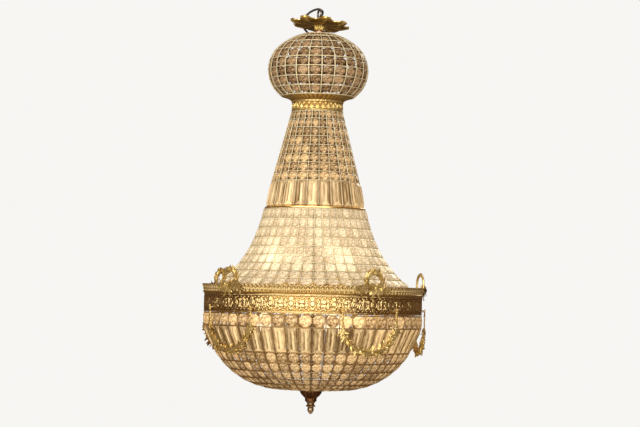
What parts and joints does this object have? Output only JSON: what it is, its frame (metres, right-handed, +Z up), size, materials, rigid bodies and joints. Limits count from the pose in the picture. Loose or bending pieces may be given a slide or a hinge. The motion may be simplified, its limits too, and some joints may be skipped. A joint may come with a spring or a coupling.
{
  "type": "basket chandelier",
  "caption": "Basket chandelier of wired cut glass: ball, tapered neck, flared tent and round basket on a gilt ring with wreaths and swags, hung from an eye under a sliding canopy.",
  "frame": {"origin": "centre of the hanging eye", "axes": "+Z up along the stem, -Y is the front that the picture shows, +X is to the right"},
  "size_m": [0.508, 0.5064, 0.9204],
  "materials": {
    "steel": "bright zinc",
    "stem_steel": "dull plated steel",
    "black_plastic": "black moulded",
    "black_rubber": "black sheath",
    "canopy_brass": "chased gilt brass",
    "copper": "pinkish copper plate",
    "cast_brass": "cast and gilt, dark patina in the hollows",
    "wire_brass": "drawn wire, dulled",
    "cut_glass": "polished facets",
    "ornament_brass": "cast and gilt",
    "lamp_brass": "spun and drawn, satin",
    "socket_plastic": "moulded",
    "candle_plastic": "cream tube",
    "bulb_glass": "frosted, lit",
    "white_plastic": "moulded"
  },
  "bodies": {
    "eye": {"hanging_eye": "steel", "eye_retainer": "steel"},
    "canopy_slider": {"canopy": "canopy_brass", "canopy_screw": "canopy_brass"},
    "cap": {"bottom_cup": "cast_brass"},
    "knob": {"finial": "cast_brass"},
    "chandelier": {"stem_head": "steel", "central_stem": "stem_steel", "tie_rod": "stem_steel", "stem_nuts": "stem_steel", "neck_plates": "stem_steel", "step_spider": "stem_steel", "ring_core": "stem_steel", "ring_spider": "stem_steel", "ring_screws": "stem_steel", "ornament_screws": "stem_steel", "cable_gland": "black_plastic", "stem_flex": "black_rubber", "arm_wires": "black_rubber", "supply_flex": "black_rubber", "seat_collar": "copper", "ball_top_cap": "cast_brass", "neck_collar": "cast_brass", "skirt_top_ring": "cast_brass", "cornice_frieze": "cast_brass", "ring_moulding": "cast_brass", "lower_band": "cast_brass", "basket_plate": "cast_brass", "ball_ribs": "wire_brass", "ball_hoops": "wire_brass", "cone_ribs": "wire_brass", "cone_hoops": "wire_brass", "skirt_ribs": "wire_brass", "skirt_hoops": "wire_brass", "basket_ribs": "wire_brass", "basket_hoops": "wire_brass", "ball_crystals": "cut_glass", "cone_crystals": "cut_glass", "cone_baguettes": "cut_glass", "skirt_crystals": "cut_glass", "basket_top_crystals": "cut_glass", "basket_baguettes": "cut_glass", "basket_crystals": "cut_glass", "wreath_1": "ornament_brass", "wreath_2": "ornament_brass", "wreath_3": "ornament_brass", "wreath_4": "ornament_brass", "wreath_5": "ornament_brass", "festoon_1": "ornament_brass", "festoon_2": "ornament_brass", "festoon_3": "ornament_brass", "festoon_4": "ornament_brass", "festoon_5": "ornament_brass", "lamp_hub": "lamp_brass", "lamp_arms": "lamp_brass", "lamp_sockets": "socket_plastic", "candle_sleeves": "candle_plastic", "lamp_bulbs": "bulb_glass", "terminal_block": "white_plastic"}
  },
  "joints": [
    {"name": "swivel", "type": "hinge", "parent": "eye", "child": "chandelier", "pos_m": [0, 0, -0.015], "axis": [0, 0, 1], "range_deg": [-180, 180]},
    {"name": "canopy_slide", "type": "slide", "parent": "chandelier", "child": "canopy_slider", "axis": [0, 0, 1], "range_m": [0, 0.0055]},
    {"name": "cap_drop", "type": "slide", "parent": "chandelier", "child": "cap", "axis": [0, 0, -1], "range_m": [0, 0.012]},
    {"name": "finial_turn", "type": "hinge", "parent": "cap", "child": "knob", "pos_m": [0, 0, -0.885], "axis": [0, 0, -1], "range_deg": [0, 2880]}
  ],
  "couplings": [
    {"joint": "finial_turn", "follows": "cap_drop", "rad_per_m": 4188.8}
  ]
}
